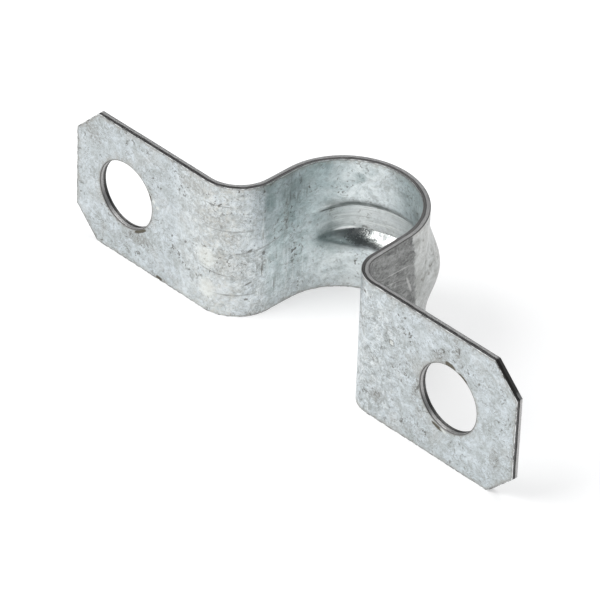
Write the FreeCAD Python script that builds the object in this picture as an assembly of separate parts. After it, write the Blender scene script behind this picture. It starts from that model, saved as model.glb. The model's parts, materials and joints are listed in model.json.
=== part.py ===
import FreeCAD, Part
import math
import os

os.makedirs("parts", exist_ok=True)

# Two-hole conduit strap, blanked from one strip of galvanised steel and folded cold.
# A half-round saddle lies over the conduit, a broad bend turns each side out into a flat
# ear, and a rib is pressed outward round the crown to stiffen it.
#
# Frame, in mm: X along the ears, Y from the wall towards the crown, Z along the conduit.
# The mounting faces lie on y = 0 and look towards -Y.
# Origin: midway between the two screw holes, on the mounting faces, at mid-width.

# Strip
STRIP_WIDTH = 19.05          # 3/4 in strip, measured along the conduit
SHEET = 0.95                 # 20 gauge steel with its zinc
CORNER_CLIP = 3.8            # 45 degree clips on the ears' free corners
EDGE_ROLL = 0.16             # punch and die drew every cut edge over by this on one face

# Ears and screw holes
HOLE_SPACING = 55.0
HOLE_DIAMETER = 9.1
END_MARGIN = 9.8             # hole centre to the ear's end, on a well-centred strap
PUNCH_SHIFT = 1.0            # both holes were punched this far off centre, towards -X

# Saddle
CONDUIT_DIAMETER = 17.93     # 1/2 in EMT, outside
SEAT_CLEARANCE = 0.035       # radial, between the conduit and the saddle
CROWN_SLACK = 0.45           # the crown clears a conduit that lies on the wall by this much
LEFT_BEND_RADIUS = 4.7       # inside the bend, which is the strap's outer face
RIGHT_BEND_RADIUS = 3.3      # the second hit of the press left a tighter bend
LEFT_SPLAY = 0.3             # degrees that the left side leans out from square
RIGHT_SPLAY = 2.6            # degrees for the right side, which sprang back further

# Pressed rib: a groove inside the saddle and a wider, softer hump outside
RIB_HEIGHT = 1.7
RIB_GROOVE_WIDTH = 7.8       # mouth of the groove, along Z
RIB_GROOVE_FLOOR = 3.4       # flat floor of the groove, as wide all the way round
RIB_HUMP_WIDTH = 14.2        # foot to foot of the hump
RIB_FULL_ANGLE = 32.0        # full height this many degrees each way from the crown
RIB_END_ANGLE = 75.0         # run out to nothing here
RIB_END_SLOPE = 0.35         # share of its flanks' width that is left where it runs out
RIB_STATIONS = 23            # sections that the rib is lofted through
RIB_POINTS = 17              # points across each face of a section
RIB_MATCH = 0.002            # how closely the lofted panel meets the saddle round it

saddle_radius = CONDUIT_DIAMETER / 2 + SEAT_CLEARANCE
saddle_height = CONDUIT_DIAMETER + CROWN_SLACK - saddle_radius
saddle_x = PUNCH_SHIFT
half_length = HOLE_SPACING / 2 + END_MARGIN
half_width = STRIP_WIDTH / 2
rib_reach = RIB_HUMP_WIDTH / 2
crown_start = LEFT_SPLAY - 90
crown_end = 90 - RIGHT_SPLAY


def arc(start, middle, end):
    return Part.Arc(start, middle, end).toShape()


def on_crown(radius, angle, z):
    """Point round the saddle's axis, at an angle from the crown towards the right ear."""
    turn = math.radians(angle)
    return FreeCAD.Vector(saddle_x + radius * math.sin(turn),
                          saddle_height + radius * math.cos(turn), z)


def side_line(side, bend_radius, splay, depth):
    """An ear, its bend and the straight side of the saddle; side is -1 left, +1 right.

    Distances u run outward from the saddle's axis. The straight side is tangent both to
    the saddle and to the bend, whose centre is found from those two conditions.
    """
    lean = math.radians(splay)
    front_radius = bend_radius + SHEET
    rise = (saddle_height - front_radius) * math.sin(lean)
    centre_u = (saddle_radius + front_radius + rise) / math.cos(lean)
    radius = front_radius - depth

    def on_bend(angle):
        return FreeCAD.Vector(saddle_x + side * (centre_u - radius * math.cos(angle)),
                              front_radius - radius * math.sin(angle), -half_width)

    end = FreeCAD.Vector(saddle_x + side * half_length, depth, -half_width)
    springing = on_crown(saddle_radius + depth, side * (90 - splay), -half_width)
    square = math.pi / 2
    return [
        Part.makeLine(end, on_bend(square)),
        arc(on_bend(square), on_bend((square + lean) / 2), on_bend(lean)),
        Part.makeLine(on_bend(lean), springing),
    ]


def sheet_line(depth):
    """The folded strip's line, this deep in the sheet, from the left end to the right."""
    radius = saddle_radius + depth
    crown = arc(on_crown(radius, crown_start, -half_width),
                on_crown(radius, 0, -half_width),
                on_crown(radius, crown_end, -half_width))
    left = side_line(-1, LEFT_BEND_RADIUS, LEFT_SPLAY, depth)
    right = side_line(1, RIGHT_BEND_RADIUS, RIGHT_SPLAY, depth)
    return left + [crown] + right[::-1]


def folded_strip():
    ends = []
    for x in (saddle_x - half_length, saddle_x + half_length):
        ends.append(Part.makeLine(FreeCAD.Vector(x, 0, -half_width),
                                  FreeCAD.Vector(x, SHEET, -half_width)))
    outline = [sheet_line(0), [ends[1]], sheet_line(SHEET)[::-1], [ends[0]]]
    profile = Part.Wire([edge for run in outline for edge in run])
    return Part.Face(profile).extrude(FreeCAD.Vector(0, 0, STRIP_WIDTH))


def blank_outline():
    """The strip's outline seen from the wall, with its corners clipped."""
    left = saddle_x - half_length
    right = saddle_x + half_length
    corners = [
        (left, -half_width + CORNER_CLIP),
        (left + CORNER_CLIP, -half_width),
        (right - CORNER_CLIP, -half_width),
        (right, -half_width + CORNER_CLIP),
        (right, half_width - CORNER_CLIP),
        (right - CORNER_CLIP, half_width),
        (left + CORNER_CLIP, half_width),
        (left, half_width - CORNER_CLIP),
    ]
    points = [FreeCAD.Vector(x, -SHEET, z) for x, z in corners]
    points.append(points[0])
    depth = saddle_height + saddle_radius + RIB_HEIGHT + 3 * SHEET
    return Part.Face(Part.makePolygon(points)).extrude(FreeCAD.Vector(0, depth, 0))


def screw_hole(x):
    start = FreeCAD.Vector(x, -SHEET, 0)
    return Part.makeCylinder(HOLE_DIAMETER / 2, 3 * SHEET, start, FreeCAD.Vector(0, 1, 0))


def roll_outline(shape):
    """Round the strip's outline on the outer face, where the blanking die drew it over.

    These are the edges with the outer face on one side only.
    """
    skin = Part.Wire(sheet_line(SHEET)).extrude(FreeCAD.Vector(0, 0, STRIP_WIDTH))

    def in_skin(face):
        u_low, u_high, v_low, v_high = face.ParameterRange
        middle = face.valueAt((u_low + u_high) / 2, (v_low + v_high) / 2)
        return skin.distToShape(Part.Vertex(middle))[0] < SHEET / 100

    rims = []
    for edge in shape.Edges:
        beside = [in_skin(face) for face in shape.ancestorsOfType(edge, Part.Face)]
        if beside.count(True) == 1:
            rims.append(edge)
    return shape.makeFillet(EDGE_ROLL, rims)


def roll_hole_rims(shape):
    """Round the screw holes on the mounting face, where their punch went in."""
    rims = []
    for edge in shape.Edges:
        if isinstance(edge.Curve, Part.Circle) and edge.BoundBox.YMax < SHEET / 100:
            rims.append(edge)
    return shape.makeFillet(EDGE_ROLL, rims)


def smooth_step(value):
    t = min(1.0, max(0.0, value))
    return t * t * (3 - 2 * t)


def rib_share(angle):
    """How much of the rib stands at an angle from the crown: 1 full, 0 run out."""
    return smooth_step((RIB_END_ANGLE - abs(angle)) / (RIB_END_ANGLE - RIB_FULL_ANGLE))


def rib_rise(z, share, foot_width, top_width):
    """Height of the pressed metal at z, for a rib with this foot and top width."""
    top = top_width / 2
    flank = (foot_width / 2 - top) * (RIB_END_SLOPE + (1 - RIB_END_SLOPE) * share)
    return RIB_HEIGHT * share * smooth_step((top + flank - abs(z)) / flank)


def rib_section(angle):
    """Closed section of the pressed sheet in the plane through the saddle's axis."""
    share = rib_share(angle)
    inner = saddle_radius
    outer = saddle_radius + SHEET

    def face_line(radius, foot_width, top_width):
        points = []
        for i in range(RIB_POINTS):
            z = -rib_reach + RIB_HUMP_WIDTH * i / (RIB_POINTS - 1)
            rise = rib_rise(z, share, foot_width, top_width)
            points.append(on_crown(radius + rise, angle, z))
        curve = Part.BSplineCurve()
        curve.interpolate(points)
        return curve.toShape()

    return Part.Wire([
        face_line(inner, RIB_GROOVE_WIDTH, RIB_GROOVE_FLOOR),
        Part.makeLine(on_crown(inner, angle, rib_reach), on_crown(outer, angle, rib_reach)),
        face_line(outer, RIB_HUMP_WIDTH, 0),
        Part.makeLine(on_crown(outer, angle, -rib_reach), on_crown(inner, angle, -rib_reach)),
    ])


def pressed_panel():
    """The half-round with its rib pressed in, lofted through its sections."""
    step = (crown_end - crown_start) / (RIB_STATIONS - 1)
    sections = [rib_section(crown_start + step * i) for i in range(RIB_STATIONS)]
    return Part.makeLoft(sections, True, False)


def panel_window():
    """The plain sheet that the pressed panel takes the place of."""
    low = -rib_reach
    inner = saddle_radius
    outer = saddle_radius + SHEET
    start = crown_start
    end = crown_end
    outline = Part.Wire([
        arc(on_crown(inner, start, low), on_crown(inner, 0, low), on_crown(inner, end, low)),
        Part.makeLine(on_crown(inner, end, low), on_crown(outer, end, low)),
        arc(on_crown(outer, end, low), on_crown(outer, 0, low), on_crown(outer, start, low)),
        Part.makeLine(on_crown(outer, start, low), on_crown(inner, start, low)),
    ])
    return Part.Face(outline).extrude(FreeCAD.Vector(0, 0, RIB_HUMP_WIDTH))


strap = roll_outline(folded_strip().common(blank_outline()))
for hole_x in (-HOLE_SPACING / 2, HOLE_SPACING / 2):
    strap = strap.cut(screw_hole(hole_x))
strap = roll_hole_rims(strap)
strap = strap.cut(panel_window())
strap = strap.fuse(pressed_panel(), RIB_MATCH)
strap.exportStep("parts/strap.step")
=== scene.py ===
import json
import math

import bmesh
import bpy
import numpy as np
from mathutils import Matrix, Vector, noise


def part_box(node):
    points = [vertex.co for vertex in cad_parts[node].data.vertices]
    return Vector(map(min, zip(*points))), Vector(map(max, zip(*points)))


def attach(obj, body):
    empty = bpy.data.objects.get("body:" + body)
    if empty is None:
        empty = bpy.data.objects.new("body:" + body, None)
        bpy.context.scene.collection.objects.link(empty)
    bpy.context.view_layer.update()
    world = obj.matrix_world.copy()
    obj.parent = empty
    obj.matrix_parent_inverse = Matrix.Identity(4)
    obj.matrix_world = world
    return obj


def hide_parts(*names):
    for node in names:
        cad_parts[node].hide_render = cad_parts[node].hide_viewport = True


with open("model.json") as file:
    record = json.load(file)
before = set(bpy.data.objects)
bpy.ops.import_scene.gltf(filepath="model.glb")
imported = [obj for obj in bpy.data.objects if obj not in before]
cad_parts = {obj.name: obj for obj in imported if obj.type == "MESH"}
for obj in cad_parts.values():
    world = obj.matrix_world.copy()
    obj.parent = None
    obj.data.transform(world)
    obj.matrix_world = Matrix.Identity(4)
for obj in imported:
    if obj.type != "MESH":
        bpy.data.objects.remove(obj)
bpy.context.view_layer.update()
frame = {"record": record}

# The strap is drawn here as the flat blank it was punched from, and the flat blank is then
# folded: u runs along the blank from the crown, v across it and h through the sheet, from
# the mounting face (0) to the outer face (SHEET). Sizes are in metres. The record's mounts
# and the CAD node's box give the sizes that aren't named here.
MM = 0.001

# Sheet, bends and rib; sides are -1 left and 1 right
SHEET = 0.95 * MM
CORNER_CLIP = 3.8 * MM
EDGE_ROLL = 0.16 * MM
BENDS = {-1: 4.7 * MM, 1: 3.3 * MM}
SPLAYS = {-1: math.radians(0.3), 1: math.radians(2.6)}
GROOVE_WIDTH, GROOVE_FLOOR = 7.8 * MM, 3.4 * MM
HUMP_WIDTH = 14.2 * MM
RIB_FULL, RIB_END = math.radians(32), math.radians(75)      # each way from the crown
RIB_END_SLOPE = 0.35          # share of its flanks' width that is left where the rib ends
FLANK_ROUND = 0.3             # share of the groove's flank that is round at both ends
FLANK_POWER = 2.2             # the rest of it is round at the mouth alone

# Unevenness of the sheet, which dies away towards the crown
WAVE_HEIGHT, WAVE_LENGTH = 0.05 * MM, 7.0 * MM
CROWN_QUIET = math.radians(25)

# Mesh
INSETS = [EDGE_ROLL, 0.3 * MM, 0.55 * MM, 0.95 * MM]        # loops beside the blank's outline
RIM_LOOPS = INSETS + [1.5 * MM]                             # loops round a screw hole
JOIN = 2.6 * MM               # the ear's own grid starts this far before its hole
GROOVE_STEP = 0.15 * MM       # across the blank, in the groove
ACROSS_STEP = 0.36 * MM       # across the blank, beside it
ALONG_STEP = 0.33 * MM        # along the blank
EAR_STEP = 0.4 * MM           # round the ear's outline
EAR_RINGS = 8                 # between the loops round a hole and the ear's outline
GROOVE_MARGIN = 0.4 * MM      # the groove's fine steps go on this far past its mouth
SAME_POINT = 1e-8             # corners closer than this are one
SHARP = math.radians(40)

# Places and sizes from the record and the box
mounts = {m["name"]: m for m in frame["record"]["mounts"]}
saddle_x, saddle_y = mounts["saddle"]["pos_m"][:2]
saddle_radius = mounts["saddle"]["dims"]["r_mm"] * MM
hole_radius = mounts["screw_holes"]["dims"]["hole_r_mm"] * MM
hole_x = mounts["screw_holes"]["dims"]["spacing_x_mm"] * MM / 2
box_low, box_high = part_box("strap")
half_width = (box_high.z - box_low.z) / 2
half_length = (box_high.x - box_low.x) / 2
rib_height = box_high.y - saddle_y - saddle_radius - SHEET


# ---------------------------------------------------------------- the folded line
class Side:
    """A leg of the saddle, its bend and its ear, laid out along the mounting face."""

    def __init__(self, side):
        self.side = side
        self.lean = SPLAYS[side]
        self.front = BENDS[side] + SHEET
        rise = (saddle_y - self.front) * math.sin(self.lean)
        self.centre = (saddle_radius + self.front + rise) / math.cos(self.lean)
        self.angle = math.pi / 2 - self.lean
        self.springing = np.array([saddle_radius * math.cos(self.lean),
                                   saddle_y + saddle_radius * math.sin(self.lean)])
        self.foot = np.array([self.centre - self.front * math.cos(self.lean),
                              self.front * (1 - math.sin(self.lean))])
        self.u_leg = saddle_radius * self.angle
        self.u_bend = self.u_leg + float(np.linalg.norm(self.foot - self.springing))
        self.u_ear = self.u_bend + self.front * self.angle
        self.u_end = self.u_ear + half_length - self.centre
        self.u_hole = self.u_ear + side * (side * hole_x - saddle_x) - self.centre


SIDES = {side: Side(side) for side in (-1, 1)}


def fold(u):
    """Place (x, y), outward normal (x, y) and crown angle of each u on the mounting face."""
    place = np.zeros((len(u), 2))
    normal = np.zeros((len(u), 2))
    angle = u / saddle_radius
    for i, value in enumerate(u):
        side = SIDES[1 if value >= 0 else -1]
        d = abs(value)
        if d <= side.u_leg:
            turn = d / saddle_radius
            n = (math.sin(turn), math.cos(turn))
            p = (saddle_radius * n[0], saddle_y + saddle_radius * n[1])
        elif d <= side.u_bend:
            share = (d - side.u_leg) / (side.u_bend - side.u_leg)
            p = side.springing + (side.foot - side.springing) * share
            n = (math.cos(side.lean), math.sin(side.lean))
        elif d <= side.u_ear:
            turn = side.lean + (d - side.u_bend) / side.front
            n = (math.cos(turn), math.sin(turn))
            p = (side.centre - side.front * n[0], side.front * (1 - n[1]))
        else:
            p = (side.centre + d - side.u_ear, 0.0)
            n = (0.0, 1.0)
        place[i] = (saddle_x + side.side * p[0], p[1])
        normal[i] = (side.side * n[0], n[1])
    return place, normal, angle


def smooth(t):
    """An even rise from 0 to 1, flat at both ends."""
    t = np.clip(t, 0, 1)
    return t * t * (3 - 2 * t)


def rib(angle, v, h):
    """Outward push of the pressed rib: a groove inside, a wider and softer hump outside."""
    share = smooth((RIB_END - np.abs(angle)) / (RIB_END - RIB_FULL))
    narrowing = RIB_END_SLOPE + (1 - RIB_END_SLOPE) * share
    flank = (GROOVE_WIDTH - GROOVE_FLOOR) / 2 * narrowing
    t = np.clip((GROOVE_FLOOR / 2 + flank - np.abs(v)) / flank, 0, 1)
    inner = FLANK_ROUND * smooth(t) + (1 - FLANK_ROUND) * t ** FLANK_POWER
    foot = HUMP_WIDTH / 2 * narrowing
    outer = smooth((foot - np.abs(v)) / foot)
    return rib_height * share * (inner + (outer - inner) * h / SHEET)


# ---------------------------------------------------------------- the flat blank
def spaced(start, end, step):
    """Even places from start to end, about a step apart."""
    count = max(1, round(abs(end - start) / step))
    return list(np.linspace(start, end, count + 1))


def columns():
    """Places across the blank for the folded grid's columns, closer in the groove."""
    inner = half_width - INSETS[-1]
    middle = spaced(0, GROOVE_FLOOR / 2, GROOVE_STEP)
    middle += spaced(middle[-1], GROOVE_WIDTH / 2 + GROOVE_MARGIN, GROOVE_STEP)[1:]
    rest = spaced(middle[-1], inner, ACROSS_STEP)[1:]
    half = middle + rest + [half_width - d for d in INSETS[-2::-1]]
    return [-v for v in half[:0:-1]] + half


class Flat:
    """Quads of one skin of the flat blank, with shared corners."""

    def __init__(self):
        self.points, self.quads, self.index = [], [], {}

    def point(self, u, v):
        """The number of the corner at u, v, which is new only if no corner is there yet."""
        key = (round(u / SAME_POINT), round(v / SAME_POINT))
        if key not in self.index:
            self.index[key] = len(self.points)
            self.points.append((u, v))
        return self.index[key]

    def rows(self, lines, closed=False):
        """Quads between neighbouring lines of points, which all have the same count."""
        ids = [[self.point(*p) for p in line] for line in lines]
        for low, high in zip(ids, ids[1:]):
            count = len(low)
            for i in range(count if closed else count - 1):
                j = (i + 1) % count
                self.quads.append((low[i], low[j], high[j], high[i]))


def ear(flat, side, cols):
    """The flat ear round a screw hole, from the join with the folded grid to its end."""
    s = SIDES[side]
    join = s.u_hole - hole_radius - JOIN

    def outline(inset):
        """Corners of the ear's open outline at an inset, from low to high at the join."""
        clip = CORNER_CLIP + inset * (math.sqrt(2) - 2)
        low, far = -half_width + inset, s.u_end - inset
        return [(join, low), (far - clip, low), (far, low + clip), (far, -low - clip),
                (far - clip, -low), (join, -low)]

    whole = outline(0)
    counts = [max(2, round(math.dist(a, b) / EAR_STEP)) for a, b in zip(whole, whole[1:])]

    def walk(inset):
        """Points along the outline, as many at every inset."""
        corners, line = outline(inset), []
        for a, b, count in zip(corners, corners[1:], counts):
            line += [(a[0] + (b[0] - a[0]) * i / count, a[1] + (b[1] - a[1]) * i / count)
                     for i in range(count)]
        return line + [corners[-1]]

    strips = [walk(inset) for inset in INSETS]
    joined = [(join, v) for v in cols[::-1] if abs(v) < half_width - INSETS[-1] - SAME_POINT]
    border = strips[-1] + joined
    around = [math.atan2(v, u - s.u_hole) for u, v in border]
    rings = [[(s.u_hole + (hole_radius + d) * math.cos(a), (hole_radius + d) * math.sin(a))
              for a in around] for d in RIM_LOOPS]
    last = rings[-1]
    for k in range(1, EAR_RINGS + 1):
        t = k / EAR_RINGS
        rings.append([(p[0] + (q[0] - p[0]) * t, p[1] + (q[1] - p[1]) * t)
                      for p, q in zip(last, border)])
    flat.rows([[(side * u, v) for u, v in line] for line in strips])
    flat.rows([[(side * u, v) for u, v in ring] for ring in rings], closed=True)
    return side * join


def flat_blank():
    """One skin of the whole blank: both ears, and the folded grid between their joins."""
    flat = Flat()
    cols = columns()
    joins = {side: ear(flat, side, cols) for side in (-1, 1)}
    marks = [joins[-1], -SIDES[-1].u_ear, -SIDES[-1].u_bend, -SIDES[-1].u_leg,
             SIDES[1].u_leg, SIDES[1].u_bend, SIDES[1].u_ear, joins[1]]
    us = [marks[0]]
    for a, b in zip(marks, marks[1:]):
        us += spaced(a, b, ALONG_STEP)[1:]
    flat.rows([[(u, v) for v in cols] for u in us])
    return flat


# ---------------------------------------------------------------- the closed sheet
# A cut edge through the sheet, as (inset, depth) in shares of EDGE_ROLL and SHEET: a burr
# corner, the fracture, the sheared band and the rolled-over corner. The outline has its burr
# on the mounting face. The holes, punched the other way, have theirs on the outer face.
ROLL = EDGE_ROLL / SHEET
EDGE_PROFILE = [
    (0.35, 0.0), (0.06, 0.012), (0.0, 0.05),
    (0.22, 0.14), (0.3, 0.28), (0.26, 0.42), (0.14, 0.52),
    (0.0, 0.46), (0.0, 0.70),
    (0.0, 1 - ROLL), (0.076, 1 - 0.617 * ROLL), (0.293, 1 - 0.293 * ROLL), (0.617, 1 - 0.076 * ROLL),
]
TORN = (0.05, 0.9)                       # depths between which the edge is uneven
BITE, BITE_LENGTH = 0.9, 0.5 * MM        # how its inset varies, as a share of itself
BAND_FROM = 0.4                          # from here up its depth varies too
WANDER, WANDER_LENGTH = 0.05, 1.7 * MM   # by this share of SHEET


def rims(flat):
    """Every open rim of the flat skin as an ordered loop of corner numbers."""
    seen = {}
    for quad in flat.quads:
        for a, b in zip(quad, quad[1:] + quad[:1]):
            seen.setdefault((min(a, b), max(a, b)), []).append((a, b))
    follow = {}
    for uses in seen.values():
        if len(uses) == 1:
            a, b = uses[0]
            follow.setdefault(a, []).append(b)
            follow.setdefault(b, []).append(a)
    loops, left = [], set(follow)
    while left:
        start = min(left)
        loop, here, before = [start], follow[start][0], start
        while here != start:
            loop.append(here)
            ahead = [n for n in follow[here] if n != before]
            before, here = here, ahead[0]
        loops.append(loop)
        left -= set(loop)
    return loops


def outward(points, loop, hole):
    """Miter vectors that point off the metal, one for each corner of a rim."""
    p = points[loop]
    after = np.roll(p, -1, 0) - p
    after /= np.linalg.norm(after, axis=1, keepdims=True)
    area = np.sum(p[:, 0] * np.roll(p[:, 1], -1) - np.roll(p[:, 0], -1) * p[:, 1])
    normal = np.stack([after[:, 1], -after[:, 0]], 1) * (1 if area > 0 else -1)
    if hole:
        normal = -normal
    before = np.roll(normal, 1, 0)
    return (normal + before) / (1 + np.sum(normal * before, 1, keepdims=True))


def ragged(u, v, scale, seed):
    """Smooth noise over the blank, from about -1 to 1."""
    return noise.noise(Vector((u / scale, v / scale, seed)))


def wave(u, v, angle):
    """The slight unevenness that blanking and folding left, as a push towards the outside."""
    push = np.array([noise.noise(Vector((a / WAVE_LENGTH, b / WAVE_LENGTH, 5.0)))
                     for a, b in zip(u, v)])
    quiet = smooth((np.abs(angle) - CROWN_QUIET) / CROWN_QUIET)
    return WAVE_HEIGHT * (0.5 + 0.5 * np.clip(push, -1, 1)) * quiet


def rim_distance(u, v):
    """How far each point of the blank is from the nearest cut edge."""
    reach = np.where(u >= 0, SIDES[1].u_end, SIDES[-1].u_end) - np.abs(u)
    across = half_width - np.abs(v)
    clip = (reach + across - CORNER_CLIP) / math.sqrt(2)
    near = np.minimum(np.minimum(reach, across), clip)
    for side, s in SIDES.items():
        near = np.minimum(near, np.abs(np.hypot(u - side * s.u_hole, v) - hole_radius))
    return np.maximum(near, 0)


def edge_line(skin, loop, miters, inset, share, depth):
    """A line of the cut edge round one rim, uneven where the metal tore."""
    line = np.zeros((len(loop), 3))
    for i, corner in enumerate(loop):
        u, v = skin[corner]
        wander, bite = 0.0, inset
        if TORN[0] < share < TORN[1]:
            if share > BAND_FROM:
                wander = WANDER * ragged(u, v, WANDER_LENGTH, share)
            bite = max(0.0, inset * (1 + BITE * ragged(u, v, BITE_LENGTH, 3 + 4 * share)))
        step = EDGE_ROLL * (1 - bite)
        line[i] = (u + miters[i, 0] * step, v + miters[i, 1] * step, (depth + wander) * SHEET)
    return line


def closed_blank():
    """Both skins of the blank and its cut edges: corners in u, v, h, their marks and faces.

    A corner is marked cut where it is on a cut edge, and its level there runs from 0 at the
    burr to 1 at the rolled corner.
    """
    flat = flat_blank()
    skin = np.array(flat.points)
    count = len(skin)
    uvh = [np.column_stack([skin, np.zeros(count)]), np.column_stack([skin, np.full(count, SHEET)])]
    cut = [np.zeros(2 * count)]
    level = [np.zeros(count), np.ones(count)]
    faces = [quad[::-1] for quad in flat.quads]
    faces += [tuple(i + count for i in quad) for quad in flat.quads]
    total = 2 * count
    loops = rims(flat)
    longest = max(loops, key=len)
    for loop in loops:
        hole = loop is not longest
        if hole:
            level[0][loop], level[1][loop] = 1, 0
        miters = outward(skin, loop, hole)
        size = len(loop)
        lines = [np.array(loop)]
        for inset, share in EDGE_PROFILE[::-1] if hole else EDGE_PROFILE:
            depth = 1 - share if hole else share
            uvh.append(edge_line(skin, loop, miters, inset, share, depth))
            cut.append(np.ones(size))
            level.append(np.full(size, share))
            lines.append(np.arange(total, total + size))
            total += size
        lines.append(np.array(loop) + count)
        for low, high in zip(lines, lines[1:]):
            for i in range(size):
                j = (i + 1) % size
                faces.append((int(low[i]), int(low[j]), int(high[j]), int(high[i])))
    return np.concatenate(uvh), np.concatenate(cut), np.concatenate(level), faces


def strap_mesh():
    """The closed blank, folded, with the rib pressed in and its marks kept for the material."""
    uvh, cut, level, faces = closed_blank()
    u, v, h = uvh.T
    place, normal, angle = fold(u)
    depth = h + rib(angle, v, h) + wave(u, v, angle)
    corners = np.column_stack([place + normal * depth[:, None], v])

    mesh = bpy.data.meshes.new("strap_sheet")
    mesh.from_pydata(corners.tolist(), [], faces)
    mesh.attributes.new("blank", "FLOAT_VECTOR", "POINT").data.foreach_set("vector", uvh.ravel())
    for name, values in (("cut", cut), ("level", level), ("rim", rim_distance(u, v))):
        mesh.attributes.new(name, "FLOAT", "POINT").data.foreach_set("value", values)
    bm = bmesh.new()
    bm.from_mesh(mesh)
    bmesh.ops.recalc_face_normals(bm, faces=bm.faces)
    bm.to_mesh(mesh)
    bm.free()
    mesh.polygons.foreach_set("use_smooth", np.ones(len(mesh.polygons), bool))
    mesh.set_sharp_from_angle(angle=SHARP)
    mesh.update()
    return mesh


strap = bpy.data.objects.new("galvanised_strap", strap_mesh())
bpy.context.scene.collection.objects.link(strap)
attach(strap, "root")
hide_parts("strap")


# ---------------------------------------------------------------- materials
class Tree:
    """Short names for the nodes of one material; a value is a number or a node's output."""

    def __init__(self, material):
        material.use_nodes = True
        self.tree = material.node_tree
        self.tree.nodes.clear()

    def node(self, kind, **settings):
        """A new shader node of a kind, with its settings."""
        made = self.tree.nodes.new("ShaderNode" + kind)
        for name, value in settings.items():
            setattr(made, name, value)
        return made

    def link(self, source, target):
        self.tree.links.new(source, target)

    def feed(self, socket, value):
        """Set a socket to a number or a colour, or link it to another node's output."""
        if isinstance(value, bpy.types.NodeSocket):
            self.link(value, socket)
        else:
            socket.default_value = value

    def maths(self, operation, *values, clamp=False):
        made = self.node("Math", operation=operation, use_clamp=clamp)
        for socket, value in zip(made.inputs, values):
            self.feed(socket, value)
        return made.outputs[0]

    def noise(self, where, scale, detail=4, rough=0.6, distort=0.0):
        made = self.node("TexNoise")
        self.link(where, made.inputs["Vector"])
        made.inputs["Scale"].default_value = scale
        made.inputs["Detail"].default_value = detail
        made.inputs["Roughness"].default_value = rough
        made.inputs["Distortion"].default_value = distort
        return made.outputs["Fac"]

    def mapped(self, where, scale, offset=(0, 0, 0), turn=(0, 0, 0)):
        """Coordinates scaled, turned and moved, for a noise of another size or direction."""
        made = self.node("Mapping")
        self.link(where, made.inputs["Vector"])
        made.inputs["Scale"].default_value = scale
        made.inputs["Location"].default_value = offset
        made.inputs["Rotation"].default_value = turn
        return made.outputs[0]

    def span(self, value, low, high, to_low=0.0, to_high=1.0):
        """Turn the range from low to high into the one from to_low to to_high, and clamp."""
        made = self.node("MapRange", clamp=True)
        self.feed(made.inputs["Value"], value)
        made.inputs["From Min"].default_value = low
        made.inputs["From Max"].default_value = high
        made.inputs["To Min"].default_value = to_low
        made.inputs["To Max"].default_value = to_high
        return made.outputs["Result"]

    def mix(self, share, first, second):
        """Blend two colours: 0 gives the first and 1 the second."""
        made = self.node("Mix", data_type="RGBA")
        factor, under, over = (made.inputs[i] for i in (0, 6, 7))
        self.feed(factor, share)
        self.feed(under, first)
        self.feed(over, second)
        return made.outputs[2]


def tone(red, green, blue):
    """A linear colour."""
    return (red, green, blue, 1.0)


# Zinc
DARK_ZINC = tone(0.41, 0.44, 0.44)
PALE_ZINC = tone(0.66, 0.712, 0.748)
CLOUD = tone(0.57, 0.62, 0.635)
WARM_ZINC = tone(0.56, 0.55, 0.525)
BLOOM = tone(0.79, 0.838, 0.872)
VEIN = tone(0.27, 0.275, 0.26)
DARK_PATCH = tone(0.25, 0.265, 0.26)
PALE_PATCH = tone(0.84, 0.875, 0.88)
DARK_GRAIN = tone(0.24, 0.25, 0.24)
PALE_GRAIN = tone(0.90, 0.92, 0.92)

# The saddle's bluish skin, with painted light and painted shade over it
DARK_TEAL = tone(0.33, 0.43, 0.44)
PALE_TEAL = tone(0.72, 0.82, 0.825)
# Painted light: a paler colour over the inside of the saddle's crown
PAINTED_SADDLE_LIGHT = tone(0.86, 0.91, 0.91)
# Painted shade: dark bluish spots inside the saddle, in its crown and groove
PAINTED_TEAL_SHADE = tone(0.25, 0.32, 0.325)

# Dirt, stains and scuffs, and the painted shade and highlight of a dimple
RIM_DIRT = tone(0.36, 0.345, 0.31)
BRINK = tone(0.27, 0.265, 0.25)
SMUDGE = tone(0.27, 0.265, 0.245)
TAN = tone(0.60, 0.57, 0.50)
STRETCHED_ZINC = tone(0.86, 0.88, 0.86)
SPECK = tone(0.17, 0.165, 0.15)
BROWN = tone(0.085, 0.072, 0.048)
# Dark dashes, and painted shade round a small dimple
DASH_AND_DIMPLE_SHADE = tone(0.15, 0.15, 0.14)
WRINKLE = tone(0.22, 0.22, 0.21)
# Pale spots, and a painted highlight in a small dimple
PALE_SPOT_AND_DIMPLE_LIGHT = tone(0.84, 0.85, 0.80)
DARK_SCUFF = tone(0.20, 0.21, 0.20)
PALE_SCUFF = tone(0.85, 0.88, 0.88)

# The groove
GROOVE_ZINC = tone(0.50, 0.50, 0.48)
DARK_LINE = tone(0.33, 0.34, 0.33)
PALE_LINE = tone(0.80, 0.82, 0.80)
# Painted dark reflection on the groove's polished lower flank
DARK_POLISH_REFLECTION = tone(0.125, 0.132, 0.13)
PALE_POLISH = tone(0.62, 0.63, 0.61)
# Painted shade on the lower part of that flank
LOW_POLISH_SHADE = tone(0.11, 0.115, 0.11)
# Painted shade: a thin dark line along the groove's upper crease
CREASE_SHADE = tone(0.06, 0.062, 0.06)
# Painted shade: a soft darker band above the groove's upper crease
LIP_SHADE = tone(0.22, 0.24, 0.235)
# Painted shade: dark bluish spots at the groove's left end
GROOVE_SHADE = tone(0.15, 0.18, 0.18)
# Painted highlight: a glint along the groove's lower crease
PAINTED_GLINT = tone(0.95, 0.96, 0.95)

# The outer face
DARK_DRAB = tone(0.27, 0.265, 0.245)
PALE_DRAB = tone(0.56, 0.555, 0.53)
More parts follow.
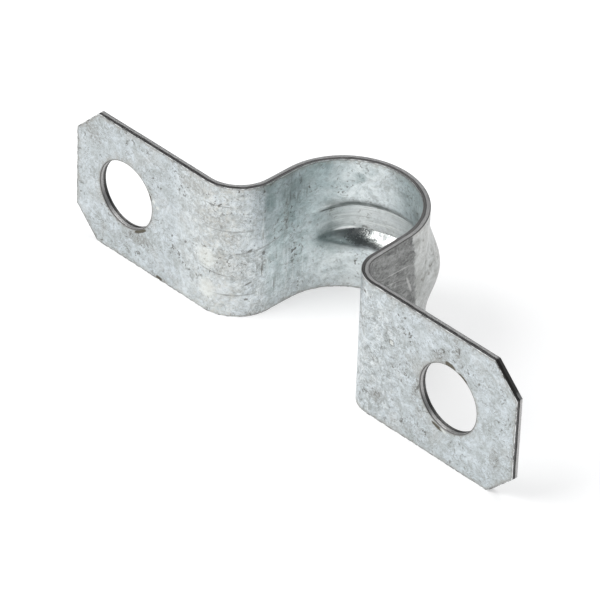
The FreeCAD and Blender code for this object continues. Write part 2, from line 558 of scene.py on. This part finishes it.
# Partly rubbed steel and partly painted shade, on the outer face beside the bends
DARK_RUB_AND_SHADE = tone(0.105, 0.107, 0.105)
PALE_RUB_AND_SHADE = tone(0.27, 0.275, 0.27)
RUB_AND_SHADE_LIGHTS = tone(0.38, 0.385, 0.375)
RUB_AND_SHADE_DARKS = tone(0.08, 0.08, 0.08)
SCRATCH = tone(0.52, 0.52, 0.51)

# Cut edges
TORN_STEEL = tone(0.19, 0.186, 0.183)
DARK_TORN_STEEL = tone(0.050, 0.048, 0.047)
TORN_GRAIN = tone(0.28, 0.275, 0.27)
SHEARED_STEEL = tone(0.66, 0.655, 0.65)
BAND_BORDER = tone(0.035, 0.034, 0.033)
CLIP_STEEL = tone(0.07, 0.066, 0.062)
ROLL_START = tone(0.11, 0.108, 0.105)
ROLLED_CORNER = tone(0.32, 0.32, 0.31)
# Painted highlight along the burr
BURR_HIGHLIGHT = tone(0.82, 0.84, 0.84)


# ---------------------------------------------------------------- marks and zones
# Marks on the mounting face, as (u, v, half length, half width, turn), in mm and degrees
BROWN_STAINS = [
    (38.98, 4.80, 0.85, 0.42, -8), (41.10, 4.15, 0.80, 0.30, -28), (-38.0, -4.05, 1.2, 0.26, 33),
    (-34.5, -9.25, 0.55, 0.25, 0), (-36.3, 1.9, 0.5, 0.22, 115), (37.5, -4.85, 0.9, 0.24, -17),
]
DARK_DASHES_AND_DIMPLE_SHADE = [
    (-18.95, 2.2, 0.13, 0.8, 4), (-18.8, -0.5, 0.26, 0.34, 0), (-19.0, -2.7, 0.12, 1.0, -3),
    (-20.6, 0.3, 0.34, 0.22, 30), (-20.8, -4.6, 0.5, 0.14, 25), (-21.0, -6.9, 0.28, 0.16, 0),
    (40.3, 7.6, 0.14, 0.6, 8), (37.9, 6.2, 0.3, 0.12, 50), (34.2, -0.9, 0.16, 0.7, -25),
    # From (29.57, 3.25) on, the dashes ring a small dimple in the right ear: painted shade
    (29.57, 3.25, 0.34, 0.10, 0), (29.57, 2.57, 0.34, 0.10, 0), (29.2, 2.91, 0.10, 0.34, 0),
    (29.94, 2.91, 0.10, 0.34, 0),
]
WRINKLES = [
    (-23.6, 3.1, 3.4, 0.10, 2), (-19.8, 0.2, 3.8, 0.10, 8), (-25.0, -3.4, 2.2, 0.09, -4),
    (-22.4, -6.3, 3.0, 0.11, 2), (-24.6, 6.6, 2.2, 0.09, 3),
]
GREY_SMUDGES = [
    (33.9, -1.3, 0.6, 2.4, -15), (37.3, 5.3, 1.5, 0.8, 30), (40.0, 7.4, 0.6, 1.7, 15),
    (-38.2, -5.3, 2.3, 0.9, 15), (-46.5, 6.2, 1.7, 1.2, -40), (-28.5, 7.6, 2.5, 0.8, 0),
    (-25.9, 4.4, 2.4, 1.3, 0), (-23.6, 2.2, 1.6, 0.9, 0), (-24.4, -1.8, 1.0, 2.0, 0),
    (46.8, -4.6, 0.8, 1.4, 0), (27.5, -6.0, 1.2, 1.0, 20), (-15.2, 3.2, 0.4, 2.6, 0),
]
PALE_SPOTS_AND_DIMPLE_LIGHT = [
    (-35.6, 1.6, 0.26, 0.26, 0), (-34.95, 1.0, 0.28, 0.28, 0), (38.6, -5.0, 0.6, 0.2, -10),
    # (29.57, 2.91) is a painted highlight in the middle of that dimple
    (29.57, 2.91, 0.34, 0.34, 0), (-26.4, -1.6, 1.4, 1.5, 0), (-26.2, -6.2, 1.2, 1.4, 0),
]
# Painted shade: spots inside the saddle, darkened where it lies in shade
PAINTED_TEAL_SHADES = [
    (-9.4, -2.9, 1.8, 2.2, 0), (-5.2, 7.2, 2.2, 0.7, 35), (-18.1, 5.6, 0.9, 4.8, 0),
    (11.2, 3.0, 1.2, 8.0, 0), (-13.4, 7.0, 1.4, 1.2, 0),
]
# Painted shade at the groove's left end
GROOVE_SHADE_SPOTS = [(-6.9, -2.7, 2.5, 1.3, 0), (-8.8, -1.9, 1.6, 1.3, 0)]
# Painted highlight along the groove's lower crease
PAINTED_GROOVE_GLINT = [(-7.0, -1.55, 1.1, 0.2, 0)]
# Marks on the outer face, beside the right bend
SCRATCHES = [
    (15.9, 5.5, 2.9, 0.07, 4), (17.2, 4.3, 2.0, 0.05, 9), (16.6, 1.6, 2.4, 0.06, 14),
    (17.8, -1.8, 1.9, 0.08, 18), (15.2, -4.6, 1.8, 0.06, 12), (13.4, 2.4, 1.3, 0.16, 70),
    (13.0, -6.2, 1.3, 0.12, 80),
]

# Zones of the blank, as (from, to) where something fades in or out, or (from, to, softness)
LEGS = (11 * MM, 21 * MM, 1.5 * MM)                # u each way, slid over by the press tools
WORKED = (33 * MM, 28 * MM)                        # u each way, all the metal that was bent
TEAL_ALONG = (SIDES[-1].u_bend + 0.4 * MM, 0.6 * MM)             # u each way: (to, softness)
TEAL_ACROSS = (-8 * MM, -3 * MM)                   # v
TEAL_TURN = (math.radians(12), math.radians(50))   # each way from TEAL_MIDDLE
TEAL_MIDDLE = math.radians(-10)
# Painted light: where the inside of the crown is made paler
SADDLE_LIGHT_TURN = (math.radians(-70), math.radians(48), math.radians(12))   # from the crown
TAN_ZONE = (-28 * MM, -22 * MM, 1.5 * MM)          # u, outside the left bend
STRETCHED = (-31 * MM, -22 * MM, 1.2 * MM)         # u, all of the left bend
RIM_ZONE = (0.1 * MM, 0.8 * MM)                    # from the nearest cut edge
BRINK_ZONE = (0.16 * MM, 0.30 * MM)
GROOVE_ACROSS = (GROOVE_FLOOR / 2 + 1.6 * MM, 0.5 * MM)          # v each way: (to, softness)
GROOVE_TURN = (RIB_END - 0.25, 0.12)               # radians from the crown, each way
# Painted shade: how far round the crown the crease's dark line reaches
CREASE_SHADE_TURN = (RIB_END - 0.2, 0.05)
LOWER_FLANK = (-2.75 * MM, -1.15 * MM, 0.12 * MM)  # v, polished on the lower side
LOWER_SHADE = (-1.65 * MM, -2.15 * MM)
POLISHED_TURN = (-0.50, 1.3, 0.15)                 # radians from the crown
# Painted shade along this line
CREASE_SHADE_LINE = (1.90 * MM, 2.22 * MM, 0.06 * MM)    # v, where the upper flank starts
# Painted shade: the soft darker band above the crease
LIP_SHADE_ZONE = (2.1 * MM, 3.7 * MM, 0.5 * MM)
# Where the outer face is darker: partly rubbed, partly painted shade
RUB_AND_SHADE_FROM = (13.12 * MM, 13.48 * MM)                # u each way, on the outer face
RUB_AND_SHADE_TO = (26 * MM, 31 * MM)
DARK_EDGE = (14 * MM, 24 * MM)                     # u each way, where torn steel darkens
CLIPS = (45.8 * MM, 49.2 * MM, 0.2 * MM)           # u each way, along the clipped corners
SHEARED = (0.58, 1.02, 0.05)                       # levels of the cut edge, raised by noise
BAND_LINE = (0.49, 0.55, 0.03)
RELIEF_HEIGHT = 0.06 * MM                          # of the bump


class Zinc(Tree):
    """Galvanised steel: mottled zinc, its stains and press marks, and bare cut edges.

    The layers of noise lie on the flat blank, so they bend with the sheet as real marks do.
    Their scales are per metre.
    """

    def __init__(self):
        """Read the marks that the mesh carries, and make the noise that several layers share."""
        self.material = bpy.data.materials.new("galvanised_zinc")
        super().__init__(self.material)
        blank = self.node("Attribute", attribute_name="blank").outputs["Vector"]
        self.cut = self.node("Attribute", attribute_name="cut").outputs["Fac"]
        self.level = self.node("Attribute", attribute_name="level").outputs["Fac"]
        self.rim = self.node("Attribute", attribute_name="rim").outputs["Fac"]
        split = self.node("SeparateXYZ")
        self.link(blank, split.inputs[0])
        self.u, self.v, h = split.outputs
        self.side_u = self.maths("ABSOLUTE", self.u)
        self.side_v = self.maths("ABSOLUTE", self.v)
        self.angle = self.maths("DIVIDE", self.u, saddle_radius)
        self.side_angle = self.maths("ABSOLUTE", self.angle)
        self.outer = self.span(h, 0.4 * SHEET, 0.6 * SHEET)
        self.inner = self.maths("SUBTRACT", 1.0, self.outer)
        self.skin = self.mapped(blank, (1, 1, 40))     # the two faces get different noise
        self.mottle = self.layer(640, 9, 0.76, 0.5)
        self.grain = self.layer(2700, 5, 0.80)
        self.bloom = self.layer(330, 6, 0.68, 1.0, (0.31, 0.17, 0))
        self.ragged = self.layer(1300, 4, 0.7, 0.3, (0.7, 0.1, 0))
        self.across = self.noise(self.mapped(self.skin, (1, 0.05, 1)), 2300, 3, 0.6, 0.2)
        self.along = self.noise(self.mapped(self.skin, (0.045, 1, 1)), 3400, 3, 0.65, 0.15)
        self.legs = self.window(self.side_u, *LEGS)

    def layer(self, scale, detail, rough, distort=0.0, offset=(0, 0, 0)):
        """Noise over the blank, moved by an offset so that no two layers agree."""
        return self.noise(self.mapped(self.skin, (1, 1, 1), offset), scale, detail, rough, distort)

    def window(self, value, low, high, soft):
        """1 from low to high and 0 outside, fading over twice the softness."""
        return self.both(self.span(value, low - soft, low + soft),
                         self.span(value, high - soft, high + soft, 1, 0))

    def below(self, value, high, soft):
        """A window on a value that is never negative, from 0 up."""
        return self.window(value, -1.0, high, soft)

    def both(self, *values):
        """The values multiplied together: where each of them holds."""
        made = values[0]
        for value in values[1:]:
            made = self.maths("MULTIPLY", made, value)
        return made

    def paint(self, colour, over, *shares):
        """Lay one colour over another, as strongly as the shares multiplied together."""
        return self.mix(self.both(*shares), colour, over)

    def mark(self, u, v, long, wide, turn, low, high, torn):
        """One mark: an ellipse whose border is torn by the ragged noise."""
        turn = math.radians(turn)
        du = self.maths("SUBTRACT", self.u, u * MM)
        dv = self.maths("SUBTRACT", self.v, v * MM)
        squares = []
        for a, b, reach in ((math.cos(turn), math.sin(turn), long * MM),
                            (-math.sin(turn), math.cos(turn), wide * MM)):
            part = self.maths("MULTIPLY_ADD", dv, b / reach,
                              self.maths("MULTIPLY", du, a / reach))
            squares.append(self.maths("MULTIPLY", part, part))
        far = self.maths("MULTIPLY_ADD", self.ragged, torn, self.maths("ADD", *squares))
        return self.span(far, low + torn / 2, high + torn / 2)

    def spots(self, marks, low=1.25, high=0.55, torn=2.6, face=None):
        """Where the listed marks lie on a face, the mounting face if none is named."""
        made, *rest = [self.mark(*mark, low, high, torn) for mark in marks]
        for mark in rest:
            made = self.maths("MAXIMUM", made, mark)
        return self.both(made, face or self.inner)

    def body(self):
        """Mottled zinc: clouds, ragged patches, thin dark creases and pale bloom."""
        colour = self.mix(self.span(self.mottle, 0.40, 0.60), DARK_ZINC, PALE_ZINC)
        cloud = self.layer(130, 4, 0.6, 0.3)
        colour = self.paint(colour, CLOUD, self.span(cloud, 0.36, 0.64, 0.05, 0.40))
        warm = self.layer(240, 5, 0.65, 0.5, (0.9, 0.4, 0))
        colour = self.paint(colour, WARM_ZINC, self.span(warm, 0.52, 0.68, 0, 0.35))
        colour = self.paint(colour, BLOOM, self.span(self.bloom, 0.55, 0.68, 0, 0.55))
        vein = self.maths("ABSOLUTE", self.maths("SUBTRACT", self.layer(620, 6, 0.7, 2.2), 0.5))
        colour = self.paint(colour, VEIN, self.span(vein, 0.030, 0.006),
                            self.span(self.bloom, 0.58, 0.44, 0.15, 0.85))
        worked = self.span(self.side_u, *WORKED)
        patch = self.layer(950, 6, 0.72, 0.8, (0.4, 0.9, 0))
        colour = self.paint(colour, DARK_PATCH, self.span(patch, 0.46, 0.36, 0, 0.65), worked)
        colour = self.paint(colour, PALE_PATCH, self.span(patch, 0.52, 0.62, 0, 0.5), worked)
        grit = self.maths("MULTIPLY_ADD", worked, 0.6, 0.8)
        colour = self.paint(colour, DARK_GRAIN, self.span(self.grain, 0.44, 0.35, 0, 0.70), grit)
        return self.paint(colour, PALE_GRAIN, self.span(self.grain, 0.56, 0.66, 0, 0.42), grit)

    def saddle_skin(self, colour):
        """The saddle's inside kept more of the mill's bluish skin, most of all by the legs. Over it,
        painted light makes the inside of the crown paler, and painted shade darkens bluish spots.
        """
        teal = self.mix(self.span(self.mottle, 0.38, 0.62), DARK_TEAL, PALE_TEAL)
        turned = self.maths("ABSOLUTE", self.maths("SUBTRACT", self.angle, TEAL_MIDDLE))
        colour = self.paint(colour, teal, self.inner,
                            self.below(self.side_u, *TEAL_ALONG),
                            self.span(self.v, *TEAL_ACROSS, 0.35),
                            self.span(turned, *TEAL_TURN, 0.12, 0.64),
                            self.span(self.bloom, 0.62, 0.42, 0.35, 1.0))
        # Painted light: the inside of the crown is made paler
        colour = self.paint(colour, PAINTED_SADDLE_LIGHT, self.inner, self.window(self.angle, *SADDLE_LIGHT_TURN),
                            self.span(self.bloom, 0.40, 0.60, 0.15, 0.55))
        # Painted shade: dark bluish spots inside the saddle
        return self.paint(colour, PAINTED_TEAL_SHADE, self.spots(PAINTED_TEAL_SHADES, 1.6, 0.0, 1.8),
                          self.span(self.bloom, 0.60, 0.45, 0.25, 0.7))

    def grime(self, colour):
        """Dark specks in clusters, dirty rims, the stains and smudges of the ears, and the painted
        shade and highlight of a small dimple.
        """
        speck = self.layer(1700, 3, 0.62, 0.9, (0.5, 0.2, 0))
        cluster = self.layer(240, 3, 0.6, 0.0, (0.8, 0.6, 0))
        self.dirt = self.both(self.span(speck, 0.575, 0.635),
                              self.span(cluster, 0.45, 0.62, 0.15, 0.85))
        colour = self.paint(colour, RIM_DIRT, self.span(self.rim, *RIM_ZONE, 1, 0),
                            self.span(self.ragged, 0.44, 0.58, 0.05, 0.75))
        colour = self.paint(colour, BRINK, self.span(self.rim, *BRINK_ZONE, 0.65, 0), self.inner)
        colour = self.paint(colour, SMUDGE, self.spots(GREY_SMUDGES, 1.7, 0.3, 4.5),
                            self.span(self.grain, 0.42, 0.56, 0.85, 0.1))
        colour = self.paint(colour, TAN, self.window(self.u, *TAN_ZONE), self.inner,
                            self.span(self.ragged, 0.48, 0.62, 0, 0.38))
        colour = self.paint(colour, STRETCHED_ZINC, self.window(self.u, *STRETCHED),
                            self.inner, 0.16)
        colour = self.paint(colour, SPECK, self.dirt)
        colour = self.paint(colour, BROWN, self.spots(BROWN_STAINS, 1.35, 0.75), 0.92)
        # Dark dashes, and painted shade round a small dimple
        colour = self.paint(colour, DASH_AND_DIMPLE_SHADE, self.spots(DARK_DASHES_AND_DIMPLE_SHADE), 0.8)
        colour = self.paint(colour, WRINKLE, self.spots(WRINKLES, 1.9, 0.2, 5.0), 0.55)
        # Pale spots, and a painted highlight in a small dimple
        return self.paint(colour, PALE_SPOT_AND_DIMPLE_LIGHT, self.spots(PALE_SPOTS_AND_DIMPLE_LIGHT, 1.5, 0.3, 3.6), 0.5)

    def scuffs(self, colour):
        """Streaks across the strip, where the press tools slid over the legs and bends."""
        broken = self.layer(420, 3, 0.6, 0.0, (0.3, 0.3, 0))
        colour = self.paint(colour, DARK_SCUFF, self.span(self.across, 0.60, 0.68), self.legs,
                            self.span(broken, 0.42, 0.60), 0.75)
        return self.paint(colour, PALE_SCUFF, self.span(self.across, 0.40, 0.33), self.legs, 0.35)

    def groove_lines(self, colour):
        """Fine scratches along the strip in the groove, and its polished lower flank, whose
        near-black colour is a painted dark reflection. Painted shade lies along the upper crease,
        above it and at the groove's left end, and a painted glint lies along its lower crease.
        """
        reach = self.below(self.side_angle, *GROOVE_TURN)
        self.groove = self.both(self.inner, reach, self.below(self.side_v, *GROOVE_ACROSS))
        colour = self.paint(colour, GROOVE_ZINC, self.groove, 0.35)
        colour = self.paint(colour, DARK_LINE, self.span(self.along, 0.54, 0.64), self.groove, 0.6)
        colour = self.paint(colour, PALE_LINE, self.span(self.along, 0.44, 0.36), self.groove, 0.6)

        ragged_v = self.maths("MULTIPLY_ADD", self.ragged, 1.0 * MM, self.v)
        ragged_angle = self.maths("MULTIPLY_ADD", self.ragged, 0.5, self.angle)
        self.flank = self.both(self.groove, self.window(ragged_v, *LOWER_FLANK),
                               self.window(ragged_angle, *POLISHED_TURN))
        # The polished flank is smoother, and its near-black colour is a painted dark reflection. Its
        # lower part gets painted shade.
        polish_and_dark_reflection = self.mix(self.span(self.ragged, 0.42, 0.58), DARK_POLISH_REFLECTION, PALE_POLISH)
        polish_and_dark_reflection = self.paint(polish_and_dark_reflection, LOW_POLISH_SHADE, self.span(ragged_v, *LOWER_SHADE, 0, 0.8))
        colour = self.paint(colour, polish_and_dark_reflection, self.flank, 0.85)

        line_v = self.maths("MULTIPLY_ADD", self.ragged, 0.3 * MM, self.v)
        # Painted shade: a dark line along the groove's upper crease
        colour = self.paint(colour, CREASE_SHADE, self.window(line_v, *CREASE_SHADE_LINE), self.inner,
                            self.below(self.side_angle, *CREASE_SHADE_TURN), 0.85)
        # Painted shade above the groove's upper crease
        colour = self.paint(colour, LIP_SHADE, self.window(line_v, *LIP_SHADE_ZONE), reach, self.inner,
                            self.span(self.bloom, 0.60, 0.46, 0.15, 0.75))
        # Painted shade at the groove's left end
        colour = self.paint(colour, GROOVE_SHADE, self.spots(GROOVE_SHADE_SPOTS, 2.0, 0.0, 1.8), 0.6)
        # Painted highlight along the groove's lower crease
        return self.paint(colour, PAINTED_GLINT, self.spots(PAINTED_GROOVE_GLINT, 1.8, 0.5, 1.6), 0.8)

    def outer_face(self, colour):
        """The outer face is greyer, and darker where the die gripped the legs: partly rubbed steel,
        partly painted shade.
        """
        drab = self.mix(self.span(self.mottle, 0.40, 0.60), DARK_DRAB, PALE_DRAB)
        colour = self.paint(colour, drab, self.outer, 0.6)

        slant = (0, 0, math.radians(-38))
        brushed = self.mapped(self.skin, (0.5, 1.1, 1), turn=slant)
        brushed = self.noise(brushed, 620, 7, 0.76, 0.8)
        # Partly rubbed steel, partly painted shade
        rub_and_shade = self.mix(self.span(brushed, 0.40, 0.60), DARK_RUB_AND_SHADE, PALE_RUB_AND_SHADE)
        rub_and_shade = self.paint(rub_and_shade, RUB_AND_SHADE_LIGHTS, self.span(self.grain, 0.50, 0.62, 0, 0.6))
        rub_and_shade = self.paint(rub_and_shade, RUB_AND_SHADE_DARKS, self.span(self.grain, 0.45, 0.36, 0, 0.6))
        rub_and_shade = self.paint(rub_and_shade, SCRATCH, self.spots(SCRATCHES, 1.6, 0.4, 3.0, self.outer), 0.65)

        border = self.layer(900, 5, 0.7, 0.5, (0.2, 0.6, 0))
        border = self.maths("MULTIPLY_ADD", border, 2.4 * MM, self.side_u)
        border = self.maths("MULTIPLY_ADD", self.v, -0.10, border)
        whole = self.maths("SUBTRACT", 1.0, self.span(self.bloom, 0.56, 0.66, 0, 0.75))
        return self.paint(colour, rub_and_shade, self.outer, self.span(border, *RUB_AND_SHADE_FROM),
                          self.span(border, *RUB_AND_SHADE_TO, 1, 0), whole)

    def cut_edge(self, colour):
        """Dark torn steel by the burr, a bright sheared band, then the dull rolled corner, with a
        painted highlight along the burr.
        """
        torn = self.mix(self.span(self.side_u, *DARK_EDGE), TORN_STEEL, DARK_TORN_STEEL)
        torn = self.paint(torn, TORN_GRAIN, self.span(self.grain, 0.44, 0.62, 0, 0.8))
        sheared = self.mix(self.span(self.grain, 0.38, 0.60), TORN_GRAIN, SHEARED_STEEL)
        uneven = self.noise(self.mapped(self.skin, (1, 1, 0.01)), 700, 5, 0.7)
        level = self.maths("MULTIPLY_ADD", uneven, 0.22, self.level)
        edge = self.mix(self.window(level, *SHEARED), torn, sheared)
        edge = self.paint(edge, BAND_BORDER, self.window(level, *BAND_LINE), 0.85)
        edge = self.paint(edge, CLIP_STEEL, self.window(self.side_u, *CLIPS), 0.85)
        edge = self.paint(edge, ROLL_START, self.span(self.level, 0.89, 0.94, 0, 0.7))
        edge = self.paint(edge, ROLLED_CORNER, self.span(self.level, 0.97, 1.0))
        # Painted highlight along the burr
        edge = self.paint(edge, BURR_HIGHLIGHT, self.span(self.level, 0.07, 0.02),
                          self.span(self.ragged, 0.44, 0.54))
        return self.mix(self.cut, colour, edge)

    def roughness(self):
        """Duller in the bloom, the dirt and the cut edges, and smoother where it is polished."""
        rough = self.span(self.mottle, 0.35, 0.65, 0.30, 0.44)
        for part, share in ((self.span(self.bloom, 0.56, 0.70), 0.10), (self.dirt, 0.2),
                            (self.flank, -0.20), (self.cut, 0.08)):
            rough = self.maths("MULTIPLY_ADD", part, share, rough, clamp=part is self.cut)
        return rough

    def relief(self):
        """The height of grain, streaks and scratches, for the bump."""
        relief = self.maths("MULTIPLY_ADD", self.mottle, 0.6, self.both(self.grain, 0.3))
        for part, share in ((self.dirt, -0.25), (self.both(self.across, self.legs), 0.35),
                            (self.both(self.along, self.groove), 0.35),
                            (self.both(self.ragged, self.flank), 0.8)):
            relief = self.maths("MULTIPLY_ADD", part, share, relief)
        return relief

    def finish(self):
        """Put the layers of colour, the roughness and the bump together."""
        colour = self.saddle_skin(self.body())
        for layer in (self.grime, self.scuffs, self.groove_lines, self.outer_face, self.cut_edge):
            colour = layer(colour)
        shader = self.node("BsdfPrincipled")
        shader.inputs["Metallic"].default_value = 1.0
        self.link(colour, shader.inputs["Base Color"])
        self.link(self.roughness(), shader.inputs["Roughness"])
        bump = self.node("Bump")
        bump.inputs["Strength"].default_value = 0.55
        bump.inputs["Distance"].default_value = RELIEF_HEIGHT
        self.link(self.relief(), bump.inputs["Height"])
        self.link(bump.outputs[0], shader.inputs["Normal"])
        out = self.node("OutputMaterial")
        self.link(shader.outputs[0], out.inputs["Surface"])
        return self.material


strap.data.materials.append(Zinc().finish())


# ---------------------------------------------------------------- floor, light and camera
FLOOR_SIZE = 4.0
FLOOR_GREY = 0.55
FLOOR_GLOW = 0.56        # lifts the floor to white, and only as the camera or the metal sees it
WORLD_STRENGTH = 0.22
LENS, SENSOR_WIDTH = 324, 36                # in mm, as lenses are named
CAMERA_AIM = Vector((1.943, 0.979, -0.208)) * MM
CAMERA_DISTANCE = 0.643                     # from the point that it is aimed at
CAMERA_AZIMUTH = math.radians(-45.641)      # from +X towards +Y
CAMERA_ELEVATION = math.radians(36.470)     # above the floor's plane
CAMERA_ROLL = math.radians(2.131)           # anticlockwise, as seen from behind it


def floor_material():
    """Matt grey that takes shadows, with a glow that makes it white to look at."""
    material = bpy.data.materials.new("pale_floor")
    t = Tree(material)
    diffuse = t.node("BsdfDiffuse")
    diffuse.inputs["Color"].default_value = tone(FLOOR_GREY, FLOOR_GREY, FLOOR_GREY)
    glow = t.node("Emission")
    glow.inputs["Color"].default_value = tone(1, 1, 1)
    path = t.node("LightPath")
    seen = t.maths("MAXIMUM", path.outputs["Is Camera Ray"], path.outputs["Is Glossy Ray"])
    seen = t.maths("MAXIMUM", seen, path.outputs["Is Transmission Ray"])
    t.link(t.maths("MULTIPLY", seen, FLOOR_GLOW), glow.inputs["Strength"])
    both = t.node("AddShader")
    t.link(diffuse.outputs[0], both.inputs[0])
    t.link(glow.outputs[0], both.inputs[1])
    out = t.node("OutputMaterial")
    t.link(both.outputs[0], out.inputs["Surface"])
    return material


def floor():
    """A plain square under the strap's lower edge."""
    mesh = bpy.data.meshes.new("floor")
    s = FLOOR_SIZE / 2
    mesh.from_pydata([(-s, -s, 0), (s, -s, 0), (s, s, 0), (-s, s, 0)], [], [(0, 1, 2, 3)])
    mesh.materials.append(floor_material())
    made = bpy.data.objects.new("floor", mesh)
    made.location = (0, 0, box_low.z)
    bpy.context.scene.collection.objects.link(made)


def area_light(name, place, size, power):
    """A soft box, in metres and watts, aimed at the saddle and not seen by the camera."""
    data = bpy.data.lights.new(name, "AREA")
    data.shape = "RECTANGLE"
    data.size, data.size_y = size
    data.energy = power
    lamp = bpy.data.objects.new(name, data)
    aim = Vector((saddle_x, saddle_y, 0)) - Vector(place)
    lamp.location = place
    lamp.rotation_euler = aim.to_track_quat("-Z", "Y").to_euler()
    lamp.visible_camera = False
    bpy.context.scene.collection.objects.link(lamp)


def studio_world():
    """Faint cool light from all round."""
    world = bpy.data.worlds.new("studio")
    world.use_nodes = True
    background = world.node_tree.nodes["Background"]
    background.inputs["Color"].default_value = tone(0.92, 0.96, 1.0)
    background.inputs["Strength"].default_value = WORLD_STRENGTH
    return world


def studio_camera():
    """A long lens, swung round the point that it is aimed at."""
    data = bpy.data.cameras.new("camera")
    data.sensor_width = SENSOR_WIDTH
    data.lens = LENS
    data.clip_start, data.clip_end = 0.05, 20
    made = bpy.data.objects.new("camera", data)
    turned = (Matrix.Rotation(CAMERA_AZIMUTH + math.pi / 2, 4, "Z")
              @ Matrix.Rotation(math.pi / 2 - CAMERA_ELEVATION, 4, "X")
              @ Matrix.Rotation(CAMERA_ROLL, 4, "Z"))
    back = Matrix.Translation((0, 0, CAMERA_DISTANCE))
    made.matrix_world = Matrix.Translation(CAMERA_AIM) @ turned @ back
    bpy.context.scene.collection.objects.link(made)
    return made


floor()
area_light("key", (-0.435, -0.557, 0.707), (0.75, 0.75), 9.0)
area_light("top", (-0.05, 0.25, 0.95), (0.8, 0.5), 4.0)
bpy.context.scene.world = studio_world()
bpy.context.scene.camera = studio_camera()
bpy.context.scene.view_settings.view_transform = "Standard"
